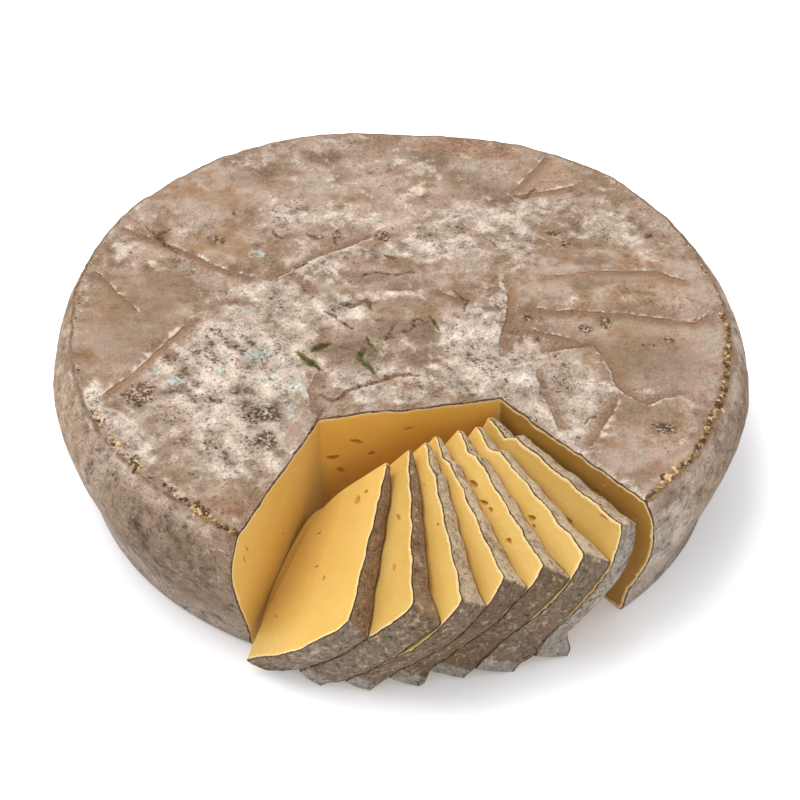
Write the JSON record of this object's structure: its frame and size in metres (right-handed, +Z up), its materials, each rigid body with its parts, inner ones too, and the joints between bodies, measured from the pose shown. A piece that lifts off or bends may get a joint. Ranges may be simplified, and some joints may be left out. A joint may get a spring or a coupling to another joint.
{
  "type": "cheese wheel",
  "caption": "Round natural-rind cheese wheel with a wedge cut out, its slices fanned in the gap.",
  "frame": {"origin": "centre of the wheel's flat underside, which lies on the table", "axes": "+Z up through the wheel, -Y towards the cut-out gap with the slices, +X to the right of the gap as seen from its open side"},
  "size_m": [0.3178, 0.3225, 0.072],
  "materials": {
    "rind": "dry, mottled natural rind with mould, creased and rough",
    "paste": "smooth, slightly waxy cut cheese paste with few small eyes"
  },
  "bodies": {
    "root": {"wheel": "rind", "slice_1": "paste", "slice_2": "paste", "slice_3": "paste", "slice_4": "paste", "slice_5": "paste", "slice_6": "paste", "slice_7": "paste"}
  },
  "joints": []
}
